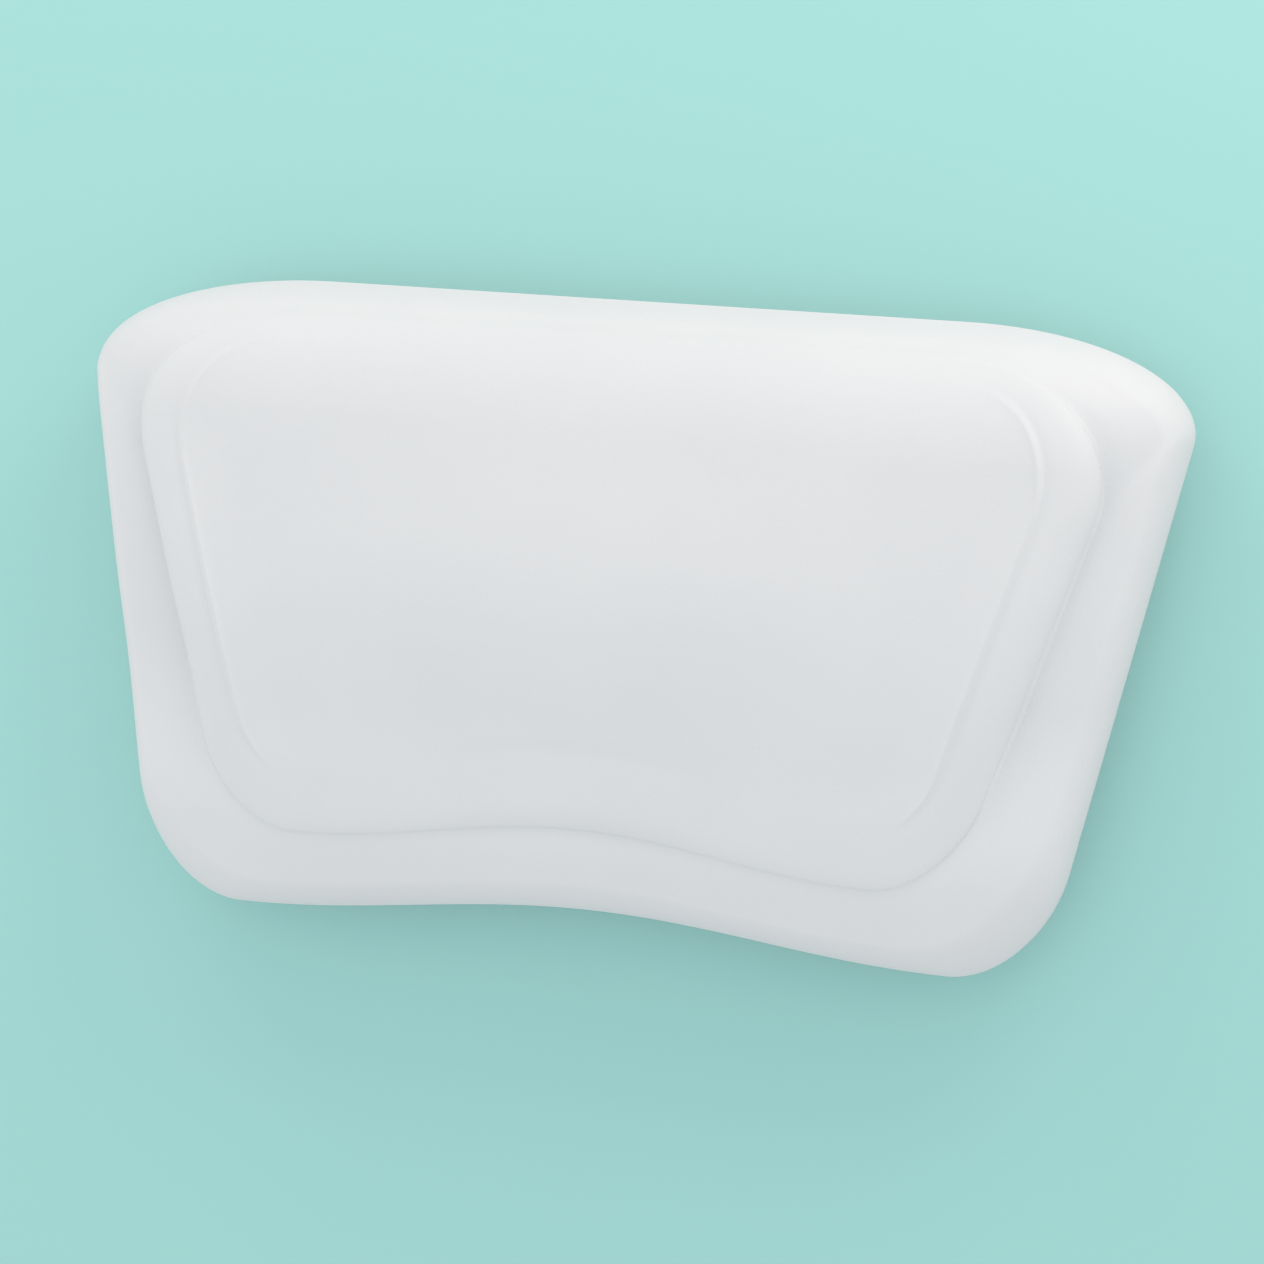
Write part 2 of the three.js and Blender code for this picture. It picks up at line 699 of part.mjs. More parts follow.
// A stud with a head above the board and a foot held in the cup's boss.
function cupStud() {
  const profile = [
    [0, STUD_BOTTOM],
    [STUD_FOOT_RADIUS - STUD_CHAMFER, STUD_BOTTOM],
    [STUD_FOOT_RADIUS, STUD_BOTTOM + STUD_CHAMFER],
    [STUD_FOOT_RADIUS, STUD_FOOT_TOP],
    [NECK_RADIUS, STUD_FOOT_TOP],
    [NECK_RADIUS, STUD_HEAD_BOTTOM],
    [STUD_HEAD_RADIUS, STUD_HEAD_BOTTOM],
    [STUD_HEAD_RADIUS, STUD_TOP - STUD_CHAMFER],
    [STUD_HEAD_RADIUS - STUD_CHAMFER, STUD_TOP],
    [0, STUD_TOP],
  ];
  return turned(profile, STUD_FACETS);
}

// Height of the cup's hollow under side at a radius, from its middle out to the flat seal.
function hollowHeight(radius) {
  return CUP_HOLLOW * (1 - (radius / (CUP_RADIUS - SEAL_WIDTH)) ** 2);
}

// A soft bell with a flat seal round its rim, a boss that grips the stud's foot, and a pull tab.
function suctionCup(outward) {
  const sealInside = CUP_RADIUS - SEAL_WIDTH;
  const under = [];
  for (let i = 0; i <= BELL_FACETS; i += 1) {
    const radius = (sealInside * i) / BELL_FACETS;
    under.push([radius, hollowHeight(radius)]);
  }
  const over = [];
  for (let i = 1; i <= BELL_FACETS; i += 1) {
    const share = i / BELL_FACETS;
    const radius = THREE.MathUtils.lerp(CUP_RADIUS, BOSS_RADIUS, share);
    const wall = THREE.MathUtils.lerp(CUP_EDGE_THICKNESS, CUP_BELL_THICKNESS, share);
    over.push([radius, Math.max(hollowHeight(radius), 0) + wall]);
  }
  const socket = STUD_FOOT_RADIUS + GAP;
  const neck = NECK_RADIUS + GAP;
  const profile = [
    ...under,
    [CUP_RADIUS, 0],
    [CUP_RADIUS, CUP_EDGE_THICKNESS],
    ...over,
    [BOSS_RADIUS, CUP_HEIGHT - BOSS_CHAMFER],
    [BOSS_RADIUS - BOSS_CHAMFER, CUP_HEIGHT],
    [neck, CUP_HEIGHT],
    [neck, STUD_FOOT_TOP + GAP],
    [socket, STUD_FOOT_TOP + GAP],
    [socket, SOCKET_FLOOR],
    [0, SOCKET_FLOOR],
  ];
  const bell = solidOf(turned(profile, CUP_FACETS));
  const halfTab = TAB_WIDTH / 2;
  const tongue = new THREE.Shape();
  tongue.moveTo(CUP_RADIUS - SEAL_WIDTH, -halfTab);
  tongue.absarc(CUP_RADIUS + TAB_REACH - halfTab, 0, halfTab, -Math.PI / 2, Math.PI / 2, false);
  tongue.lineTo(CUP_RADIUS - SEAL_WIDTH, halfTab);
  tongue.closePath();
  const tab = slab(tongue, TAB_LIFT, TAB_LIFT + TAB_THICKNESS);
  return geometryOf(bell.add(solidOf(tab))).rotateZ(outward);
}

function piece(name, geometry, material) {
  const mesh = new THREE.Mesh(geometry, material);
  mesh.name = name;
  return mesh;
}

const pillow = new THREE.Group();
const seats = studSeats();
pillow.add(piece('front_skin', frontSkin(), skinMaterial));
pillow.add(piece('foam_core', foamCore(seats), foamMaterial));
pillow.add(piece('back_skin', backSkin(seats), skinMaterial));
pillow.add(piece('insert_board', insertBoard(seats), boardMaterial));
for (const seat of seats) {
  pillow.add(piece(`keyhole_dome_${seat.name}`, keyholeDome(seat), domeMaterial));
  const stud = piece(`cup_stud_${seat.name}`, cupStud(), studMaterial);
  const cup = piece(`suction_cup_${seat.name}`, suctionCup(seat.outward), cupMaterial);
  for (const hanging of [stud, cup]) {
    hanging.position.set(seat.x, seat.y, 0);
    pillow.add(hanging);
  }
}

export default pillow;
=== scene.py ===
# %% [markdown]
# A moulded bath pillow in Blender.
# The real pillow is soft foam under a thick white skin, and four suction cups on its back hold it
# to the wall of a bath. The solids that give its size, its joints and its weight are already made.
# This lesson dresses them: it draws the soft head side smoothly, turns the cups and studs as round
# pieces, and gives every surface its finish.

# %% Load the solids
import math

import bpy
import numpy as np
from mathutils import Matrix, Vector


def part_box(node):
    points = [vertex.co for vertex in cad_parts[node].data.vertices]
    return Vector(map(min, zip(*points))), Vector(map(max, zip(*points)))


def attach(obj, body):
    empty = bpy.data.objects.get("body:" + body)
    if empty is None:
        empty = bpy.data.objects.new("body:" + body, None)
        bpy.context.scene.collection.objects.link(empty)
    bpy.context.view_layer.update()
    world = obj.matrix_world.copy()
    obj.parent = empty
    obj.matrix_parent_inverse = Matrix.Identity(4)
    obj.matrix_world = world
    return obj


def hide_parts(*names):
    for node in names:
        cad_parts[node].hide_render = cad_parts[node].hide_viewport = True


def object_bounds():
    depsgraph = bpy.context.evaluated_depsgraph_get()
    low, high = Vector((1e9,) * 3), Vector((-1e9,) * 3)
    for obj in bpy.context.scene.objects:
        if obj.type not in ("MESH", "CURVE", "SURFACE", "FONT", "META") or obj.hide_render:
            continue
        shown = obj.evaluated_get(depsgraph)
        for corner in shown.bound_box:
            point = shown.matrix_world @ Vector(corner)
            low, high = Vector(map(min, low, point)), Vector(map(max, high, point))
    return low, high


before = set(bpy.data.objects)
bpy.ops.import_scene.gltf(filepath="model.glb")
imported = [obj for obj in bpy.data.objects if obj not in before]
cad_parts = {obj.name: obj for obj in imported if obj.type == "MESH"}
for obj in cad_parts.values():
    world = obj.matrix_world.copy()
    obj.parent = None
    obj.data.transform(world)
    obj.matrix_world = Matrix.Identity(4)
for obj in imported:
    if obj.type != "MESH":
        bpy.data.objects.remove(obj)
solid_low, solid_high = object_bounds()
MM = 0.001
PLACES = ("upper_left", "upper_right", "lower_left", "lower_right")
print("solids", sorted(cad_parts))
print("size of the solids in mm", [round(v / MM, 2) for v in solid_high - solid_low])


# %% [markdown]
# Nearly every tool in Blender works on what is selected, so the first helper makes one object the only
# selected one. The second turns a list of points and faces into an object. The third applies a modifier,
# which writes its result into the mesh, so that the finished piece is plain geometry.

# %% Helpers for objects
def select_only(piece):
    bpy.ops.object.select_all(action="DESELECT")
    piece.select_set(True)
    bpy.context.view_layer.objects.active = piece


def object_from(name, points, faces):
    mesh = bpy.data.meshes.new(name)
    mesh.from_pydata([tuple(p) for p in points], [], [tuple(f) for f in faces])
    mesh.update()
    piece = bpy.data.objects.new(name, mesh)
    bpy.context.scene.collection.objects.link(piece)
    return piece


def apply_modifier(piece, kind, **settings):
    select_only(piece)
    modifier = piece.modifiers.new(kind.title(), kind)
    for key, value in settings.items():
        setattr(modifier, key, value)
    bpy.ops.object.modifier_apply(modifier=modifier.name)


# %% [markdown]
# The camera stands square to the head side and a little to the right of it, about nine tenths of a metre
# away, and is rolled by a few degrees. A long lens keeps the perspective calm. The three turns are
# put together as one matrix: its rows are the camera's right, up and back directions in the pillow's frame,
# so the transposed matrix is what Blender wants for the camera object.

# %% Camera
CAMERA_TURN = math.radians(-12.67)
CAMERA_TILT = math.radians(0.64)
CAMERA_ROLL = math.radians(-4.81)
CAMERA_OFFSET = Vector((2.07, -5.82, 882.2)) * MM
AIM = Vector((0, 2.45, 11)) * MM
turn = Matrix.Rotation(CAMERA_TURN, 3, "Y")
tilt = Matrix.Rotation(CAMERA_TILT, 3, "X")
roll = Matrix.Rotation(CAMERA_ROLL, 3, "Z")
directions = (roll @ tilt @ turn).transposed()

bpy.ops.object.camera_add()
camera = bpy.context.object
camera.name = "photo_camera"
camera.matrix_world = Matrix.Translation(AIM + directions @ CAMERA_OFFSET) @ directions.to_4x4()
camera.data.sensor_width = 36
camera.data.lens = 92.1
camera.data.clip_start = 0.01
bpy.context.scene.camera = camera
print("camera at", [round(v, 3) for v in camera.location], "lens", camera.data.lens)


# %% [markdown]
# A white object shows its form only by light and shade. Most of the light here is even and comes from
# all round and is a little cool. Four soft lamps, a little warm, give it a direction: two stand beyond the
# top edge and one stands low at each side. They are near, so they fall off across the pillow, which
# brightens the top and leaves the hollows and the lower edge darker. The lamps are hidden from the camera,
# so that they never stand in a view from another side.

# %% Light
MIDDLE = Vector((0, 0, 0.04))
LAMP_SIDE = 0.3
WARM = (1, 0.90, 0.83)


def soft_lamp(name, place, watts):
    bpy.ops.object.light_add(type="AREA", location=place)
    lamp = bpy.context.object
    lamp.name = name
    lamp.data.shape = "SQUARE"
    lamp.data.size = LAMP_SIDE
    lamp.data.energy = watts
    lamp.data.color = WARM
    lamp.rotation_mode = "QUATERNION"
    lamp.rotation_quaternion = (MIDDLE - Vector(place)).to_track_quat("-Z", "Y")
    lamp.visible_camera = False


soft_lamp("lamp_above_right", (0.27, 0.47, 0.29), 0.51)
soft_lamp("lamp_above_left", (-0.27, 0.47, 0.29), 0.36)
soft_lamp("lamp_right", (0.49, 0.34, 0.12), 0.29)
soft_lamp("lamp_left", (-0.59, 0, 0.12), 0.22)
bpy.context.scene.view_settings.view_transform = "Standard"


# %% [markdown]
# The floor is one large plane, just under the cups. It has to look pale green to the camera, but a green
# floor would tint the white pillow. Light Path tells which kind of ray asks: the camera, a
# reflection and a look through the clear cups get the green, and the light that bounces gets a neutral white.
# The world does the same, and shows the camera the green of the floor far away, so that the floor's far
# edge doesn't show.

# %% Floor and world
FLOOR_SIDE = 8
FLOOR_GAP = 0.2
BACKDROP = (0.43, 0.79, 0.74, 1)
NEUTRAL = (0.80, 0.80, 0.80, 1)
AMBIENT = (0.772, 0.795, 0.817, 1)


def seen_or_bounced(tree, seen, bounced):
    path = tree.nodes.new("ShaderNodeLightPath")
    either = tree.nodes.new("ShaderNodeMath")
    either.operation = "MAXIMUM"
    tree.links.new(path.outputs["Is Camera Ray"], either.inputs[0])
    tree.links.new(path.outputs["Is Glossy Ray"], either.inputs[1])
    through = tree.nodes.new("ShaderNodeMath")
    through.operation = "MAXIMUM"
    tree.links.new(either.outputs[0], through.inputs[0])
    tree.links.new(path.outputs["Is Transmission Ray"], through.inputs[1])
    mix = tree.nodes.new("ShaderNodeMix")
    mix.data_type = "RGBA"
    mix.inputs["A"].default_value = bounced
    mix.inputs["B"].default_value = seen
    tree.links.new(through.outputs[0], mix.inputs["Factor"])
    return mix.outputs["Result"]


bpy.ops.mesh.primitive_plane_add(size=FLOOR_SIDE, location=(0, 0, solid_low.z - FLOOR_GAP * MM))
floor = bpy.context.object
floor.name = "floor"
floor_paint = bpy.data.materials.new("plain_floor")
floor_paint.use_nodes = True
floor_shader = floor_paint.node_tree.nodes["Principled BSDF"]
floor_shader.inputs["Roughness"].default_value = 0.9
floor_shader.inputs["Specular IOR Level"].default_value = 0.1
colour = seen_or_bounced(floor_paint.node_tree, BACKDROP, NEUTRAL)
floor_paint.node_tree.links.new(colour, floor_shader.inputs["Base Color"])
floor.data.materials.append(floor_paint)

world = bpy.data.worlds.new("studio")
world.use_nodes = True
bpy.context.scene.world = world
background = world.node_tree.nodes["Background"]
far_floor = tuple(b * a for b, a in zip(BACKDROP, AMBIENT))
colour = seen_or_bounced(world.node_tree, far_floor, AMBIENT)
world.node_tree.links.new(colour, background.inputs["Color"])
print("floor at", round(floor.location.z / MM, 2), "mm")


# %% [markdown]
# The head side is drawn by closed lines that run round the pillow, one inside the other. Each line
# is a trapezium with an arched bottom edge and oval corners, given by a few sizes in millimetres.
# Seen from the side the pillow has one profile: its lower part leans back, a long soft bend leads to a
# flat band, and above that it rolls over to the top edge. The lines of the back edge and the wall keep
# heights of their own. The others lie on the profile or sink below it, deepest at the sides and only a
# little at the bottom and the top. A lattice or a sculpt could give a similar form, but with lines the step
# and the pressed line stay where they were measured.

# %% The lines of the head side
OUTLINE = dict(half_top=155, half_bottom=121, top=86, bottom=-86, top_run=67, top_drop=29,
               bottom_run=23, bottom_rise=30, arch=7.5, lean=0, side=6, upper=6, lower=6, sink=0, low_sink=0,
               top_sink=0, fade=24)
WALL = dict(OUTLINE, side=15, upper=10, lower=11)
RIM = dict(half_top=147.5, half_bottom=113.5, top=77.5, bottom=-77, top_run=60, top_drop=25,
           bottom_run=28, bottom_rise=36, arch=7.5, lean=1, side=0, upper=0, lower=0, sink=11.6, low_sink=3,
           top_sink=2.6, fade=24)
FOOT = dict(half_top=140, half_bottom=98, top=74, bottom=-63.7, top_run=56, top_drop=42,
            bottom_run=20, bottom_rise=26, arch=8, lean=1, side=0, upper=0, lower=0, sink=12, low_sink=1.1,
            top_sink=0, fade=40)
LINE = dict(half_top=125, half_bottom=89, top=69, bottom=-54.5, top_run=36, top_drop=40,
            bottom_run=21, bottom_rise=22, arch=7, lean=1, side=0, upper=0, lower=0, sink=0, low_sink=0,
            top_sink=0, fade=40)
HEIGHTS = ("lean", "side", "upper", "lower", "sink", "low_sink", "top_sink")
CREST = 46
LOWER_SLOPE = 0.17
BEND_START, BEND_END = -25, 16
ROLL_START, ROLL_END, ROLL_DROP = 46, 86, 35
STEP_LOW, STEP_FULL = -64, -14
STEPS_ROUND = (40, 34, 30, 44, 36)
SMALLEST_CORNER = 4
OVAL = 0.5523
WAVE = 0.3642


def between(start, end, plan, rise):
    return {k: start[k] + (end[k] - start[k]) * (rise if k in HEIGHTS else plan) for k in start}


def inset(line, distance):
    slant = math.atan2(line["half_top"] - line["half_bottom"], line["top"] - line["bottom"])
    across, along = distance / math.cos(slant), distance * math.tan(slant)
    moved = dict(line, top=line["top"] - distance, bottom=line["bottom"] + distance)
    moved["half_top"] = line["half_top"] - across - along
    moved["half_bottom"] = line["half_bottom"] - across + along
    for corner in ("top_run", "top_drop", "bottom_run", "bottom_rise"):
        moved[corner] = max(line[corner] - distance, SMALLEST_CORNER)
    return moved


def level(line, height):
    return dict(line, lean=0, side=height, upper=height, lower=height, sink=0, low_sink=0, top_sink=0)


def side_profile(y):
    y = np.asarray(y, float)
    bent = np.clip(BEND_END - y, 0, BEND_END - BEND_START)
    straight = np.clip(BEND_START - y, 0, None)
    fall = LOWER_SLOPE * (bent ** 2 / (2 * (BEND_END - BEND_START)) + straight)
    rolled = np.clip((y - ROLL_START) / (ROLL_END - ROLL_START), 0, 1)
    return CREST - fall - ROLL_DROP * (1 - np.sqrt(1 - rolled ** 2))


def parabola(line, y):
    t = (y - line["bottom"]) / (line["top"] - line["bottom"])
    low = line["lower"] * (1 - t) * (1 - 2 * t)
    return low + line["side"] * 4 * t * (1 - t) + line["upper"] * t * (2 * t - 1)


def eased(y, start, end):
    t = np.clip((y - start) / (end - start), 0, 1)
    return t * t * (3 - 2 * t)


def height_of(line, y):
    depth = line["low_sink"] + (line["sink"] - line["low_sink"]) * eased(y, STEP_LOW, STEP_FULL)
    depth = depth + (line["top_sink"] - depth) * eased(y, line["top"] - line["fade"], line["top"])
    return line["lean"] * side_profile(y) + parabola(line, y) - depth


def bezier(a, b, c, d, steps):
    t = (np.arange(steps) / steps)[:, None]
    return a * (1 - t) ** 3 + b * 3 * t * (1 - t) ** 2 + c * 3 * t ** 2 * (1 - t) + d * t ** 3


def flat_ring(line):
    top_corner = np.array((line["half_top"], line["top"]))
    low_corner = np.array((line["half_bottom"], line["bottom"]))
    up = (top_corner - low_corner) / np.linalg.norm(top_corner - low_corner)
    arch_top = np.array((0, line["bottom"] + line["arch"]))
    arch_end = low_corner - (line["bottom_run"], 0)
    side_low = low_corner + up * line["bottom_rise"]
    side_top = top_corner - up * line["top_drop"]
    top_end = top_corner - (line["top_run"], 0)
    top_middle = np.array((0, line["top"]))
    wave = np.array((arch_end[0] * WAVE, 0))
    spans = [
        (arch_top, arch_top + wave, arch_end - wave, arch_end),
        (arch_end, None, low_corner, side_low),
        (side_low, side_low * 2 / 3 + side_top / 3, side_low / 3 + side_top * 2 / 3, side_top),
        (side_top, None, top_corner, top_end),
        (top_end, top_end * 2 / 3 + top_middle / 3, top_end / 3 + top_middle * 2 / 3, top_middle),
    ]
    right = []
    for (a, b, c, d), steps in zip(spans, STEPS_ROUND):
        if b is None:
            b, c = a + (c - a) * OVAL, d + (c - d) * OVAL
        right.append(bezier(a, b, c, d, steps))
    right = np.vstack(right)
    left = right[1:][::-1] * (-1, 1)
    return np.vstack([right, [top_middle], left])


def ring(line):
    flat = flat_ring(line)
    return np.column_stack([flat, height_of(line, flat[:, 1])])


print("points round each line", len(ring(OUTLINE)))


# %% [markdown]
# The head panel's field is a soft crown. Near its border a narrow groove is pressed in, with a raised lip
# just inside it and a shallow dish behind the lip. The relief runs along the sides and fades out in the
# corners, where the field goes straight over into the top and bottom edges.

# %% The field and its relief
BULGE = 3
FADE_POWER, SIDE_POWER = 5, 4
GROOVE = -0.3
LIP_AT, LIP = 1.6, 0.8
DISH_AT, DISH = 12, -0.9
RELIEF_STEPS = ((0, GROOVE), (0.8, 0.25), (LIP_AT, LIP), (2.4, 0.3), (3.6, -0.1), (7.5, -0.6))
CROWN_STEPS = (0.92, 0.84, 0.74, 0.62, 0.48, 0.34)


def fade(y):
    start = LINE["bottom"] + LINE["arch"]
    t = np.clip((y - start) / (LINE["top"] - start), 0, 1)
    return 1 - np.abs(2 * t - 1) ** FADE_POWER


def outward(line, x, y):
    along = (y - line["bottom"]) / (line["top"] - line["bottom"])
    half = line["half_bottom"] + (line["half_top"] - line["half_bottom"]) * along
    return np.clip(np.abs(x) / half, 0, 1)


def relief_share(line, x, y):
    return fade(y) * outward(line, x, y) ** SIDE_POWER


def field_ring(distance, relief):
    line = inset(LINE, distance)
    x, y = flat_ring(line).T
    return np.column_stack([x, y, side_profile(y) + relief * relief_share(line, x, y)])


dish_line = inset(LINE, DISH_AT)
dish = field_ring(DISH_AT, DISH)
crown = np.array((0, (LINE["top"] + LINE["bottom"]) / 2))


def field_height(x, y):
    reach = (dish_line["top"] - dish_line["bottom"]) / 2
    up = np.clip(np.abs(y - crown[1]) / reach, 0, 1)
    swell = BULGE * (1 - outward(dish_line, x, y) ** 2) ** 2 * (1 - up ** 2) ** 2
    return side_profile(y) + swell + DISH * relief_share(dish_line, x, y)


def domed(share):
    flat = crown + (dish[:, :2] - crown) * share
    return np.column_stack([flat, field_height(flat[:, 0], flat[:, 1])])


print("crown at", crown, "height", round(float(field_height(*crown)), 2), "mm")


# %% [markdown]
# Now the lines are put in order, from the end of the hem on the back, round the heel, up the wall, over
# the rim, down into the step, up the shoulder and in to the field. The wall is a quarter turn of an
# oval, and the rim swells a little between its crest and the step. The shoulder rises steeply from its
# foot and bends over to the field. Smooth curves are then drawn through the lines, point by point. A plain
# spline would swing past its points beside the narrow groove, so each slope is kept between those of its
# neighbours.

# %% Rings of the skin
HEEL = 6
HEM = 10
HEEL_STEPS = (0, 22.5, 45, 67.5, 90)
WALL_STEPS = range(0, 90, 10)
SHOULDER_POWER = 3
SHOULDER_STEPS = (0.01, 0.03, 0.06, 0.1, 0.15, 0.22, 0.33, 0.47, 0.64, 0.82)
RIM_SWELL_AT, RIM_SWELL = 0.65, 1.0


def round_over(start, end, degrees):
    angle = math.radians(degrees)
    return between(start, end, 1 - math.cos(angle), math.sin(angle))


def shoulder(share):
    return between(FOOT, LINE, share, math.sqrt(1 - (1 - share) ** SHOULDER_POWER))


def heel(degrees):
    angle = math.radians(degrees)
    return level(inset(OUTLINE, HEEL * (1 - math.sin(angle))), HEEL * (1 - math.cos(angle)))


skin_lines = [level(inset(OUTLINE, HEEL + HEM), 0)]
skin_lines += [heel(a) for a in HEEL_STEPS]
skin_lines += [round_over(WALL, RIM, a) for a in WALL_STEPS]
rim_middle = between(RIM, FOOT, RIM_SWELL_AT, RIM_SWELL_AT)
skin_lines += [RIM, dict(rim_middle, sink=rim_middle["sink"] - RIM_SWELL), FOOT]
skin_lines += [shoulder(s) for s in SHOULDER_STEPS]
outer_keys = [ring(line) for line in skin_lines]
outer_keys += [field_ring(at, relief) for at, relief in RELIEF_STEPS] + [dish]
outer_keys += [domed(s) for s in CROWN_STEPS]


def smooth_through(rings, steps):
    stack = np.stack(rings)
    spans = np.linalg.norm(np.diff(stack, axis=0), axis=2).mean(axis=1)[:, None, None]
    slopes = np.diff(stack, axis=0) / spans
    before, after = slopes[:-1], slopes[1:]
    agree = before * after > 0
    first, second = 2 * spans[1:] + spans[:-1], spans[1:] + 2 * spans[:-1]
    mean = first / np.where(agree, before, 1) + second / np.where(agree, after, 1)
    tangent = np.concatenate([slopes[:1], np.where(agree, (first + second) / mean, 0), slopes[-1:]])
    drawn = []
    for k, span in enumerate(spans):
        for u in np.arange(steps) / steps:
            drawn.append(
                stack[k] * (1 + 2 * u) * (1 - u) ** 2 + stack[k + 1] * u ** 2 * (3 - 2 * u)
                + span * (tangent[k] * u * (1 - u) ** 2 - tangent[k + 1] * u ** 2 * (1 - u)))
    return drawn + [stack[-1]]


SKIN_STEPS = 3
outer = smooth_through(outer_keys, SKIN_STEPS)
print("lines", len(outer_keys), "rings", len(outer))


# %% [markdown]
# The skin is 1.6 mm thick. Its inner side is the outer side moved in along its normals, drawn only
# through the broad lines, because the skin evens out the groove and the lip on the foam side. The
# two sides are joined at the end of the hem. What is left is a small round opening at the crown in each side,
# which Blender's Grid Fill closes with an even net of four-sided faces, so no pole of thin triangles
# catches the light.

# %% Inner side of the skin
SKIN = 1.6
BACK = 11.0
INNER_STEPS = 2
FIELD_KEYS_FROM_END = (6, 4, 2, 1)


def normals_of(rings):
    stack = np.stack(rings)
    along = np.roll(stack, -1, axis=1) - np.roll(stack, 1, axis=1)
    across = np.gradient(stack, axis=0)
    normal = np.cross(along, across)
    return normal / np.linalg.norm(normal, axis=2, keepdims=True)


outer_normals = normals_of(outer)
GROOVE_KEY = len(skin_lines)
broad = list(range(0, GROOVE_KEY - 1, 2)) + [len(outer_keys) - k for k in FIELD_KEYS_FROM_END]


def moved_in(depth):
    return [outer[k * SKIN_STEPS] - outer_normals[k * SKIN_STEPS] * depth for k in broad]


inner = smooth_through(moved_in(SKIN), INNER_STEPS)
print("rings inside", len(inner))


# %% [markdown]
# All rings have the same number of points, so two neighbours are joined by one band of four-sided faces.
# The second helper closes the opening at the crown and lifts the new points to the height of the field.

# %% Helpers that join rings into a mesh
def loft(name, rings):
    count = len(rings[0])
    points = np.concatenate(rings) * MM + (0, 0, BACK * MM)
    faces = []
    for k in range(len(rings) - 1):
        a, b = k * count, (k + 1) * count
        for i in range(count):
            j = (i + 1) % count
            faces.append((a + i, a + j, b + j, b + i))
    return object_from(name, points, faces)


def fill_crown(piece, start, count, depth):
    known = len(piece.data.vertices)
    select_only(piece)
    bpy.ops.object.mode_set(mode="EDIT")
    bpy.ops.mesh.select_all(action="DESELECT")
    bpy.ops.object.mode_set(mode="OBJECT")
    for vertex in piece.data.vertices[start:start + count]:
        vertex.select = True
    bpy.ops.object.mode_set(mode="EDIT")
    bpy.ops.mesh.select_mode(type="EDGE")
    bpy.ops.mesh.select_mode(type="VERT")
    bpy.ops.mesh.fill_grid(span=count // 4)
    bpy.ops.object.mode_set(mode="OBJECT")
    for vertex in piece.data.vertices[known:]:
        height = field_height(vertex.co.x / MM, vertex.co.y / MM)
        vertex.co.z = (BACK + height - depth) * MM
    return len(piece.data.vertices) - known


# %% The moulded skin
ROUND = len(outer[0])
skin = loft("moulded_skin", inner[::-1] + outer)
outer_end = (len(inner) + len(outer) - 1) * ROUND
made = fill_crown(skin, outer_end, ROUND, 0)
made += fill_crown(skin, 0, ROUND, SKIN)
select_only(skin)
bpy.ops.object.mode_set(mode="EDIT")
bpy.ops.mesh.select_all(action="SELECT")
bpy.ops.mesh.normals_make_consistent(inside=False)
bpy.ops.object.mode_set(mode="OBJECT")
bpy.ops.object.shade_smooth()
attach(skin, "pillow")
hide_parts("front_skin")
print("skin", len(skin.data.vertices), "points,", made, "of them in the crowns")


# %% [markdown]
# The skin is polyurethane that set against a lightly etched mould: white, matt, with a grain finer than
# a millimetre. Its colour drifts very slightly, as moulded foam does. All patterns read Object
# coordinates, which are metres here, so a noise with a scale of 1500 has cells of about 0.7 mm.
# The grain is only a bump, because it is far too fine to be worth geometry.

# %% Helpers for finishes
def new_finish(name, roughness, specular):
    material = bpy.data.materials.new(name)
    material.use_nodes = True
    tree = material.node_tree
    shader = tree.nodes["Principled BSDF"]
    shader.inputs["Roughness"].default_value = roughness
    shader.inputs["Specular IOR Level"].default_value = specular
    place = tree.nodes.new("ShaderNodeTexCoord").outputs["Object"]
    return material, tree, shader, place


def noise(tree, place, scale, detail, rough=0.5):
    node = tree.nodes.new("ShaderNodeTexNoise")
    node.inputs["Scale"].default_value = scale
    node.inputs["Detail"].default_value = detail
    node.inputs["Roughness"].default_value = rough
    tree.links.new(place, node.inputs["Vector"])
    return node.outputs["Fac"]


def cells(tree, place, scale, feature="SMOOTH_F1"):
    node = tree.nodes.new("ShaderNodeTexVoronoi")
    node.feature = feature
    node.inputs["Scale"].default_value = scale
    tree.links.new(place, node.inputs["Vector"])
    return node.outputs["Distance"]


def spread(tree, factor, low, high, start=0.3, stop=0.7):
    node = tree.nodes.new("ShaderNodeMapRange")
    node.inputs["From Min"].default_value = start
    node.inputs["From Max"].default_value = stop
    node.inputs["To Min"].default_value = low
    node.inputs["To Max"].default_value = high
    tree.links.new(factor, node.inputs["Value"])
    return node.outputs["Result"]


def two_tones(tree, factor, first, second):
    node = tree.nodes.new("ShaderNodeMix")
    node.data_type = "RGBA"
    node.inputs["A"].default_value = (*first, 1)
    node.inputs["B"].default_value = (*second, 1)
    tree.links.new(factor, node.inputs["Factor"])
    return node.outputs["Result"]


def bump(tree, height, depth, under=None):
    node = tree.nodes.new("ShaderNodeBump")
    node.inputs["Strength"].default_value = 1
    node.inputs["Distance"].default_value = depth
    tree.links.new(height, node.inputs["Height"])
    if under is not None:
        tree.links.new(under, node.inputs["Normal"])
    return node.outputs["Normal"]


# %% Finish of the skin
def skin_finish(name, pale, shaded):
    material, tree, shader, place = new_finish(name, 0.5, 0.4)
    drift = spread(tree, noise(tree, place, 22, 4, 0.6), 0, 1)
    tree.links.new(two_tones(tree, drift, pale, shaded), shader.inputs["Base Color"])
    matt = spread(tree, noise(tree, place, 260, 3), 0.46, 0.60)
    tree.links.new(matt, shader.inputs["Roughness"])
    pores = bump(tree, cells(tree, place, 1300), 0.00003)
    grain = bump(tree, noise(tree, place, 2600, 3, 0.6), 0.00002, pores)
    tree.links.new(grain, shader.inputs["Normal"])
    return material


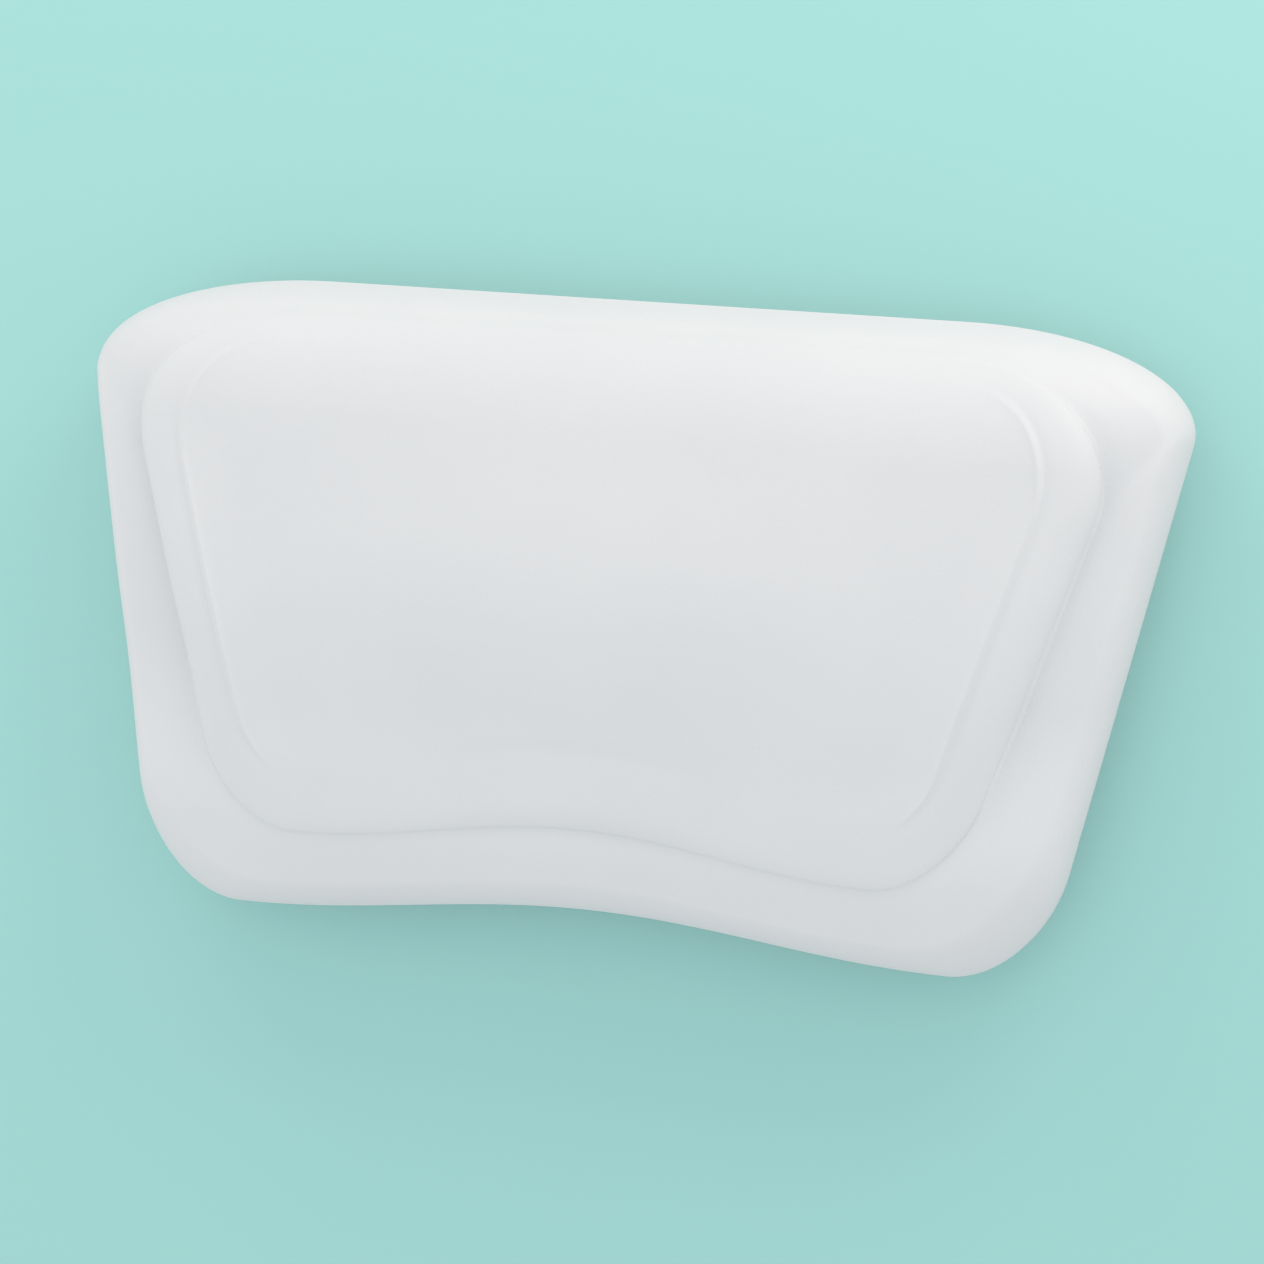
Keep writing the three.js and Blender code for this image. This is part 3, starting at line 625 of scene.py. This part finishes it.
white_skin = skin_finish("white_skin", (0.848, 0.846, 0.852), (0.828, 0.828, 0.836))
skin.data.materials.append(white_skin)
print("finish", white_skin.name, len(white_skin.node_tree.nodes), "nodes")


# %% [markdown]
# Foam fills the skin. Its outside follows the skin's inner side with a small gap, and its under side is flat.
# Room for the stiff board and for the four domes is taken out with Boolean modifiers, the way a core in
# the mould would leave it. Nine posts of foam stay standing in the holes of the board, and grip it.
# No cloth simulation is needed here: the foam sets in a mould, so its form is the mould's.

# %% Tools that cut the foam
GAP, SLACK = 0.3, 0.1
FOAM_DEPTH = SKIN + GAP + SLACK
board_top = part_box("insert_board")[1].z / MM
dome_low, dome_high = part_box("keyhole_dome_upper_left")
FLANGE = 1.2
DOME_RADIUS, FLANGE_RADIUS, POST_RADIUS = 8.5, 11.5, 7.7
TRAVEL = 12
BOARD_INSET, BOARD_CORNER, POST_PITCH = 22, 18, 42
POST_FACETS, ROOM_FACETS = 40, 48


def seat_of(place):
    low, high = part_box("cup_stud_" + place)
    return (low + high) / 2 / MM


def solid_cylinder(name, x, y, radius, bottom, top, facets):
    bpy.ops.mesh.primitive_cylinder_add(
        vertices=facets, radius=radius * MM, depth=(top - bottom) * MM,
        location=(x * MM, y * MM, (top + bottom) / 2 * MM))
    piece = bpy.context.object
    piece.name = name
    bpy.ops.object.transform_apply(location=True)
    return piece


def drawn_long(piece, y, distance):
    select_only(piece)
    bpy.ops.object.mode_set(mode="EDIT")
    bpy.ops.mesh.select_mode(type="VERT")
    bpy.ops.object.mode_set(mode="OBJECT")
    for vertex in piece.data.vertices:
        vertex.select = vertex.co.y < y * MM - 1e-6
    bpy.ops.object.mode_set(mode="EDIT")
    bpy.ops.transform.translate(value=(0, -distance * MM, 0))
    bpy.ops.object.mode_set(mode="OBJECT")


def combine(piece, tool, operation):
    apply_modifier(piece, "BOOLEAN", operation=operation, object=tool, solver="EXACT")
    bpy.data.objects.remove(tool)


def prism(name, line, bottom, top):
    flat = flat_ring(line)
    count = len(flat)
    points = [(x * MM, y * MM, z * MM) for z in (bottom, top) for x, y in flat]
    faces = [(i, (i + 1) % count, count + (i + 1) % count, count + i) for i in range(count)]
    faces += [tuple(reversed(range(count))), tuple(range(count, 2 * count))]
    return object_from(name, points, faces)


board_line = dict(inset(OUTLINE, BOARD_INSET - GAP), top_run=BOARD_CORNER, top_drop=BOARD_CORNER)
board_line.update(bottom_run=BOARD_CORNER, bottom_rise=BOARD_CORNER)
board_room = prism("board_room", board_line, BACK, board_top + GAP)
rows = (seat_of("upper_left").y, seat_of("lower_left").y)
for y in (rows[0], sum(rows) / 2, rows[1]):
    for column in (-1, 0, 1):
        x = column * POST_PITCH
        post = solid_cylinder("post", x, y, POST_RADIUS, BACK - 1, board_top + 1, POST_FACETS)
        combine(board_room, post, "DIFFERENCE")
print("room for the board", len(board_room.data.polygons), "faces")

# %% The foam core
foam_rings = smooth_through(moved_in(FOAM_DEPTH)[2:], INNER_STEPS)
base = outer[SKIN_STEPS] * (1, 1, 0) - outer_normals[SKIN_STEPS] * (SKIN + GAP) * (1, 1, 0)
base[:, 2] = SKIN + GAP
foam = loft("moulded_foam", [base] + foam_rings)
fill_crown(foam, len(foam_rings) * ROUND, ROUND, FOAM_DEPTH)
select_only(foam)
for vertex in foam.data.vertices:
    vertex.select = vertex.index < ROUND
bpy.ops.object.mode_set(mode="EDIT")
bpy.ops.mesh.select_mode(type="EDGE")
bpy.ops.mesh.edge_face_add()
bpy.ops.mesh.select_all(action="SELECT")
bpy.ops.mesh.normals_make_consistent(inside=False)
bpy.ops.object.mode_set(mode="OBJECT")
combine(foam, board_room, "DIFFERENCE")
for place in PLACES:
    seat = seat_of(place)
    flange_top = dome_low.z / MM + FLANGE + GAP
    wide = FLANGE_RADIUS + GAP
    flange_room = solid_cylinder("flange_room", seat.x, seat.y, wide, BACK, flange_top, ROOM_FACETS)
    drawn_long(flange_room, seat.y, TRAVEL)
    combine(foam, flange_room, "DIFFERENCE")
    dome_top = dome_high.z / MM + GAP
    wide = DOME_RADIUS + GAP
    dome_room = solid_cylinder("dome_room", seat.x, seat.y, wide, BACK, dome_top, ROOM_FACETS)
    drawn_long(dome_room, seat.y, TRAVEL)
    combine(foam, dome_room, "DIFFERENCE")
select_only(foam)
bpy.ops.object.shade_smooth_by_angle(angle=math.radians(40))
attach(foam, "pillow")
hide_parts("foam_core")
print("foam", len(foam.data.polygons), "faces")


# %% [markdown]
# The back panel is a flat sheet of the same skin with four windows for the studs. A copy of the solid
# is welded first, because the file keeps the corners of its triangles apart. Then its flat faces are made
# whole again and a Bevel rounds the cut edges, as a die leaves them.

# %% The back panel
BACK_BEVEL = 0.45


def welded_copy(name, node):
    piece = bpy.data.objects.new(name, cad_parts[node].data.copy())
    bpy.context.scene.collection.objects.link(piece)
    select_only(piece)
    bpy.ops.object.mode_set(mode="EDIT")
    bpy.ops.mesh.select_all(action="SELECT")
    bpy.ops.mesh.remove_doubles(threshold=1e-6)
    bpy.ops.mesh.dissolve_limited(angle_limit=math.radians(1))
    bpy.ops.object.mode_set(mode="OBJECT")
    return piece


back = welded_copy("back_panel", "back_skin")
apply_modifier(back, "BEVEL", width=BACK_BEVEL * MM, segments=3, limit_method="ANGLE",
               angle_limit=math.radians(50))
select_only(back)
bpy.ops.object.shade_smooth_by_angle(angle=math.radians(35))
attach(back, "pillow")
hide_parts("back_skin")
print("back panel", len(back.data.polygons), "faces")


# %% [markdown]
# Cups and studs are round pieces. On a lathe or in a round mould one profile makes them. Here a
# filled circle is drawn and pushed on from one point of the profile to the next: Extrude makes a new band,
# Resize sets its radius and Translate its height. The circle that started the piece closes its one end,
# and the last one closes the other.

# %% Helper that turns a profile
def turned(name, profile, facets):
    radius, height = profile[0]
    bpy.ops.mesh.primitive_circle_add(vertices=facets, radius=radius * MM, fill_type="NGON",
                                      location=(0, 0, height * MM))
    piece = bpy.context.object
    piece.name = name
    bpy.ops.object.transform_apply(location=True)
    bpy.ops.object.mode_set(mode="EDIT")
    bpy.ops.mesh.select_mode(type="FACE")
    bpy.ops.mesh.select_all(action="SELECT")
    for wide, high in profile[1:]:
        bpy.ops.mesh.extrude_region_move(TRANSFORM_OT_translate={"value": (0, 0, (high - height) * MM)})
        share = wide / radius
        bpy.ops.transform.resize(value=(share, share, 1), center_override=(0, 0, high * MM))
        radius, height = wide, high
    bpy.ops.mesh.select_all(action="SELECT")
    bpy.ops.mesh.normals_make_consistent(inside=False)
    bpy.ops.object.mode_set(mode="OBJECT")
    return piece


# %% [markdown]
# The suction cup is one moulding of soft vinyl. Its under side is a shallow hollow that ends in a flat
# ring, the part that seals. The bell thickens towards the boss, and the boss has a socket that
# snaps over the foot of the stud. A tongue is joined on at the rim, to peel the cup off the wall.

# %% One suction cup
CUP, HOLLOW, SEAL = 23, 4, 1.7
BOSS, CUP_HEIGHT, NECK, SOCKET = 9.5, 10.7, 4.3, 6.5
SOCKET_FLOOR, SOCKET_TOP = 5.8, 8.6
CENTRE, EDGE, EDGE_ROUND, BELL_GAIN = 1.5, 0.9, 0.2, 1.3
BOSS_ROUND, BOSS_MIDDLE = 0.8, 0.25
BELL_STEPS, CUP_FACETS = 12, 96


def hollow_height(radius):
    return max(HOLLOW * (1 - (radius / (CUP - SEAL)) ** 2), 0)


under = [(r, hollow_height(r)) for r in np.linspace(CENTRE, CUP - SEAL, BELL_STEPS)]
rim_edge = [(CUP - EDGE_ROUND, 0), (CUP, EDGE_ROUND)]
rim_edge += [(CUP, EDGE - EDGE_ROUND), (CUP - EDGE_ROUND, EDGE)]
over = []
for share in np.linspace(0.05, 1, BELL_STEPS):
    radius = CUP + (BOSS - CUP) * share
    over.append((radius, hollow_height(radius) + EDGE + BELL_GAIN * share))
boss = [(BOSS, CUP_HEIGHT - BOSS_ROUND), (BOSS - BOSS_MIDDLE, CUP_HEIGHT - BOSS_MIDDLE)]
boss += [(BOSS - BOSS_ROUND, CUP_HEIGHT)]
socket = [(NECK, CUP_HEIGHT), (NECK, SOCKET_TOP), (SOCKET, SOCKET_TOP)]
socket += [(SOCKET, SOCKET_FLOOR), (CENTRE, SOCKET_FLOOR)]
cup_profile = under + rim_edge + over + boss + socket
cup = turned("suction_cup", cup_profile, CUP_FACETS)

TAB_REACH, TAB_WIDTH, TAB_LIFT, TAB_THICKNESS = 7, 11, 0.3, 1.1
TAB_BEVEL, TAB_FACETS = 0.3, 48
tab_end = CUP + TAB_REACH - TAB_WIDTH / 2
tab_start = CUP - SEAL
tab = solid_cylinder("tab", tab_end, 0, TAB_WIDTH / 2, TAB_LIFT, TAB_LIFT + TAB_THICKNESS, TAB_FACETS)
bpy.ops.mesh.primitive_cube_add(size=1)
root = bpy.context.object
root.scale = Vector((tab_end - tab_start, TAB_WIDTH, TAB_THICKNESS)) * MM
root.location = Vector(((tab_start + tab_end) / 2, 0, TAB_LIFT + TAB_THICKNESS / 2)) * MM
bpy.ops.object.transform_apply(location=True, rotation=False, scale=True)
combine(tab, root, "UNION")
apply_modifier(tab, "BEVEL", width=TAB_BEVEL * MM, segments=2, limit_method="ANGLE",
               angle_limit=math.radians(50))
combine(cup, tab, "UNION")
print("cup", len(cup.data.polygons), "faces")


# %% [markdown]
# The stud is a hard nylon pin with a foot in the cup and a head above the board. Its edges get a small
# Bevel, because a moulded edge is never sharp.

# %% One stud
FOOT_RADIUS, PIN_RADIUS, HEAD_RADIUS = 6.2, 4, 7
STUD_LOW, FOOT_TOP, HEAD_LOW, STUD_TOP = 6.1, 8.3, 16.2, 18.7
CHAMFER, STUD_BEVEL, STUD_FACETS = 0.5, 0.25, 72
stud_profile = [(FOOT_RADIUS - CHAMFER, STUD_LOW), (FOOT_RADIUS, STUD_LOW + CHAMFER)]
stud_profile += [(FOOT_RADIUS, FOOT_TOP), (PIN_RADIUS, FOOT_TOP)]
stud_profile += [(PIN_RADIUS, HEAD_LOW), (HEAD_RADIUS, HEAD_LOW)]
stud_profile += [(HEAD_RADIUS, STUD_TOP - CHAMFER), (HEAD_RADIUS - CHAMFER, STUD_TOP)]
stud = turned("cup_stud", stud_profile, STUD_FACETS)
apply_modifier(stud, "BEVEL", width=STUD_BEVEL * MM, segments=2, limit_method="ANGLE",
               angle_limit=math.radians(30))
print("stud", len(stud.data.polygons), "faces")


# %% [markdown]
# Each cup and each stud was modelled once. Now every place gets its own copy with its own mesh, moved
# there in the mesh itself. The left cups are turned by half a turn, so that all tongues point outwards.

# %% Copies at the four places
def copy_to(model, name, place, half_turn):
    mesh = model.data.copy()
    seat = seat_of(place)
    turn = Matrix.Rotation(math.pi if half_turn else 0, 4, "Z")
    mesh.transform(Matrix.Translation((seat.x * MM, seat.y * MM, 0)) @ turn)
    piece = bpy.data.objects.new(name, mesh)
    bpy.context.scene.collection.objects.link(piece)
    select_only(piece)
    bpy.ops.object.shade_smooth_by_angle(angle=math.radians(35))
    return piece


cups, studs = [], []
for place in PLACES:
    vinyl = copy_to(cup, "vinyl_cup_" + place, place, place.endswith("left"))
    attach(vinyl, "cup_" + place)
    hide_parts("suction_cup_" + place)
    cups.append(vinyl)
    nylon = copy_to(stud, "nylon_stud_" + place, place, False)
    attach(nylon, "stud_" + place)
    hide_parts("cup_stud_" + place)
    studs.append(nylon)
for model in (cup, stud):
    bpy.data.objects.remove(model)
print("copies", len(cups), "cups and", len(studs), "studs")


# %% [markdown]
# The other finishes. Foam is open cells, so it takes Voronoi cells of about a millimetre as colour and as
# bump. Its yellowish off-white is the foam's own colour. The darker tone in the dips between the cells,
# where the bump sinks, is painted shade. The back panel has the skin's grain and is a little greyer. Vinyl
# lets light through and is a little milky, with faint flow marks. Nylon is satin. The board and the domes
# are polypropylene with a fine grain from the mould.

# %% Finishes of the other pieces
def foam_finish():
    material, tree, shader, place = new_finish("open_foam", 0.9, 0.1)
    size = cells(tree, place, 900, "F1")
    # Painted shade: the tone darkens from each cell's middle towards the dips between the cells.
    tone = two_tones(tree, spread(tree, size, 0, 1, 0.1, 0.8), (0.90, 0.87, 0.79), (0.78, 0.74, 0.64))
    tree.links.new(tone, shader.inputs["Base Color"])
    tree.links.new(bump(tree, size, -0.0003), shader.inputs["Normal"])
    return material


def plastic_finish(name, pale, shaded, rough, grain):
    material, tree, shader, place = new_finish(name, rough, 0.45)
    drift = spread(tree, noise(tree, place, 60, 3), 0, 1)
    tree.links.new(two_tones(tree, drift, pale, shaded), shader.inputs["Base Color"])
    matt = spread(tree, noise(tree, place, 500, 3), rough - 0.06, rough + 0.08)
    tree.links.new(matt, shader.inputs["Roughness"])
    tree.links.new(bump(tree, noise(tree, place, 2200, 3, 0.6), grain), shader.inputs["Normal"])
    return material


def vinyl_finish():
    material, tree, shader, place = new_finish("clear_vinyl", 0.2, 0.5)
    cloud = spread(tree, noise(tree, place, 90, 4, 0.6), 0, 1)
    tone = two_tones(tree, cloud, (0.84, 0.90, 0.91), (0.79, 0.86, 0.87))
    tree.links.new(tone, shader.inputs["Base Color"])
    shader.inputs["IOR"].default_value = 1.53
    tree.links.new(spread(tree, noise(tree, place, 140, 3), 0.18, 0.28), shader.inputs["Transmission Weight"])
    tree.links.new(spread(tree, noise(tree, place, 300, 3), 0.14, 0.30), shader.inputs["Roughness"])
    tree.links.new(bump(tree, noise(tree, place, 420, 3), 0.00002), shader.inputs["Normal"])
    return material


foam.data.materials.append(foam_finish())
back_white = skin_finish("back_white", (0.800, 0.808, 0.820), (0.776, 0.786, 0.800))
back.data.materials.clear()
back.data.materials.append(back_white)
vinyl_clear = vinyl_finish()
nylon_white = plastic_finish("nylon_white", (0.88, 0.88, 0.87), (0.85, 0.85, 0.84), 0.35, 0.00001)
board_grey = plastic_finish("board_grey", (0.70, 0.71, 0.72), (0.66, 0.67, 0.68), 0.5, 0.00003)
dome_grey = plastic_finish("dome_grey", (0.70, 0.71, 0.72), (0.67, 0.68, 0.69), 0.45, 0.00002)
for piece in cups:
    piece.data.materials.append(vinyl_clear)
for piece in studs:
    piece.data.materials.append(nylon_white)
for name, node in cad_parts.items():
    if name == "insert_board" or name.startswith("keyhole_dome"):
        node.data.materials.clear()
        node.data.materials.append(board_grey if name == "insert_board" else dome_grey)
print("finishes", sorted(m.name for m in bpy.data.materials if m.users))
